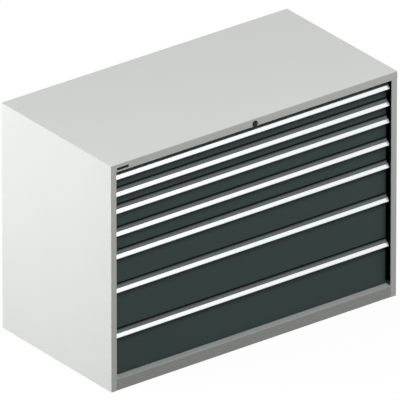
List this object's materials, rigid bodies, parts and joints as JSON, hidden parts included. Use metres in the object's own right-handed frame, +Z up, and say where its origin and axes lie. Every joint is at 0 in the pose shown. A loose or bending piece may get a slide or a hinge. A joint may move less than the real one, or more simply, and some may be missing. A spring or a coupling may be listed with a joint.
{
  "type": "drawer cabinet",
  "caption": "Wide workshop drawer cabinet in folded sheet steel: full-width handled drawers on differential roller runners, held by one central lock.",
  "frame": {"origin": "middle of the housing's footprint, on the floor", "axes": "+Z up, front of the drawers towards -Y, +X to the right of someone facing the drawers"},
  "size_m": [1.431, 0.73, 1],
  "materials": {
    "housing_paint": "powder coat, light grey, fine texture",
    "base_paint": "powder coat, mid grey, fine texture",
    "front_paint": "powder coat, dark anthracite, fine texture",
    "tray_paint": "powder coat, light grey",
    "handle_aluminium": "natural anodised, drawn",
    "label_aluminium": "bright anodised, bare",
    "cap_plastic": "moulded, light grey",
    "zinc_steel": "zinc plated",
    "black_plastic": "moulded, black",
    "lock_steel": "nickel plated"
  },
  "bodies": {
    "housing": {"side_panel_left": "housing_paint", "side_panel_right": "housing_paint", "top_panel": "housing_paint", "base_pan": "base_paint", "back_panel": "housing_paint", "runner_posts": "housing_paint", "cabinet_rails": "zinc_steel", "lock_housing": "black_plastic"},
    "drawer_1": {"drawer_1_tray": "tray_paint", "drawer_1_front": "front_paint", "drawer_1_handle": "handle_aluminium", "drawer_1_label_strip": "label_aluminium", "drawer_1_end_caps": "cap_plastic", "drawer_1_rails": "zinc_steel"},
    "drawer_1_carriage": {"drawer_1_carriages": "zinc_steel"},
    "drawer_2": {"drawer_2_tray": "tray_paint", "drawer_2_front": "front_paint", "drawer_2_handle": "handle_aluminium", "drawer_2_label_strip": "label_aluminium", "drawer_2_end_caps": "cap_plastic", "drawer_2_rails": "zinc_steel"},
    "drawer_2_carriage": {"drawer_2_carriages": "zinc_steel"},
    "drawer_3": {"drawer_3_tray": "tray_paint", "drawer_3_front": "front_paint", "drawer_3_handle": "handle_aluminium", "drawer_3_label_strip": "label_aluminium", "drawer_3_end_caps": "cap_plastic", "drawer_3_rails": "zinc_steel"},
    "drawer_3_carriage": {"drawer_3_carriages": "zinc_steel"},
    "drawer_4": {"drawer_4_tray": "tray_paint", "drawer_4_front": "front_paint", "drawer_4_handle": "handle_aluminium", "drawer_4_label_strip": "label_aluminium", "drawer_4_end_caps": "cap_plastic", "drawer_4_rails": "zinc_steel"},
    "drawer_4_carriage": {"drawer_4_carriages": "zinc_steel"},
    "drawer_5": {"drawer_5_tray": "tray_paint", "drawer_5_front": "front_paint", "drawer_5_handle": "handle_aluminium", "drawer_5_label_strip": "label_aluminium", "drawer_5_end_caps": "cap_plastic", "drawer_5_rails": "zinc_steel"},
    "drawer_5_carriage": {"drawer_5_carriages": "zinc_steel"},
    "drawer_6": {"drawer_6_tray": "tray_paint", "drawer_6_front": "front_paint", "drawer_6_handle": "handle_aluminium", "drawer_6_label_strip": "label_aluminium", "drawer_6_end_caps": "cap_plastic", "drawer_6_rails": "zinc_steel"},
    "drawer_6_carriage": {"drawer_6_carriages": "zinc_steel"},
    "drawer_7": {"drawer_7_tray": "tray_paint", "drawer_7_front": "front_paint", "drawer_7_handle": "handle_aluminium", "drawer_7_label_strip": "label_aluminium", "drawer_7_end_caps": "cap_plastic", "drawer_7_rails": "zinc_steel"},
    "drawer_7_carriage": {"drawer_7_carriages": "zinc_steel"},
    "lock_turning": {"lock_cylinder": "lock_steel", "lock_rod": "zinc_steel"},
    "lock_lifting": {"lock_bar": "zinc_steel"}
  },
  "joints": [
    {"name": "drawer_1_slide", "type": "slide", "parent": "housing", "child": "drawer_1", "axis": [0, -1, 0], "range_m": [0, 0.612]},
    {"name": "drawer_1_carriage_slide", "type": "slide", "parent": "housing", "child": "drawer_1_carriage", "axis": [0, -1, 0], "range_m": [0, 0.306]},
    {"name": "drawer_2_slide", "type": "slide", "parent": "housing", "child": "drawer_2", "axis": [0, -1, 0], "range_m": [0, 0.612]},
    {"name": "drawer_2_carriage_slide", "type": "slide", "parent": "housing", "child": "drawer_2_carriage", "axis": [0, -1, 0], "range_m": [0, 0.306]},
    {"name": "drawer_3_slide", "type": "slide", "parent": "housing", "child": "drawer_3", "axis": [0, -1, 0], "range_m": [0, 0.612]},
    {"name": "drawer_3_carriage_slide", "type": "slide", "parent": "housing", "child": "drawer_3_carriage", "axis": [0, -1, 0], "range_m": [0, 0.306]},
    {"name": "drawer_4_slide", "type": "slide", "parent": "housing", "child": "drawer_4", "axis": [0, -1, 0], "range_m": [0, 0.612]},
    {"name": "drawer_4_carriage_slide", "type": "slide", "parent": "housing", "child": "drawer_4_carriage", "axis": [0, -1, 0], "range_m": [0, 0.306]},
    {"name": "drawer_5_slide", "type": "slide", "parent": "housing", "child": "drawer_5", "axis": [0, -1, 0], "range_m": [0, 0.612]},
    {"name": "drawer_5_carriage_slide", "type": "slide", "parent": "housing", "child": "drawer_5_carriage", "axis": [0, -1, 0], "range_m": [0, 0.306]},
    {"name": "drawer_6_slide", "type": "slide", "parent": "housing", "child": "drawer_6", "axis": [0, -1, 0], "range_m": [0, 0.612]},
    {"name": "drawer_6_carriage_slide", "type": "slide", "parent": "housing", "child": "drawer_6_carriage", "axis": [0, -1, 0], "range_m": [0, 0.306]},
    {"name": "drawer_7_slide", "type": "slide", "parent": "housing", "child": "drawer_7", "axis": [0, -1, 0], "range_m": [0, 0.612]},
    {"name": "drawer_7_carriage_slide", "type": "slide", "parent": "housing", "child": "drawer_7_carriage", "axis": [0, -1, 0], "range_m": [0, 0.306]},
    {"name": "lock_bar_lift", "type": "slide", "parent": "housing", "child": "lock_lifting", "axis": [0, 0, 1], "range_m": [0, 0.01697]},
    {"name": "lock_turn", "type": "hinge", "parent": "housing", "child": "lock_turning", "pos_m": [0, -0.3625, 0.9795], "axis": [0, 1, 0], "range_deg": [0, 90]}
  ],
  "couplings": [
    {"joint": "drawer_1_carriage_slide", "follows": "drawer_1_slide", "ratio": 0.5},
    {"joint": "drawer_2_carriage_slide", "follows": "drawer_2_slide", "ratio": 0.5},
    {"joint": "drawer_3_carriage_slide", "follows": "drawer_3_slide", "ratio": 0.5},
    {"joint": "drawer_4_carriage_slide", "follows": "drawer_4_slide", "ratio": 0.5},
    {"joint": "drawer_5_carriage_slide", "follows": "drawer_5_slide", "ratio": 0.5},
    {"joint": "drawer_6_carriage_slide", "follows": "drawer_6_slide", "ratio": 0.5},
    {"joint": "drawer_7_carriage_slide", "follows": "drawer_7_slide", "ratio": 0.5},
    {"joint": "lock_turn", "follows": "lock_bar_lift", "rad_per_m": 92.56}
  ]
}
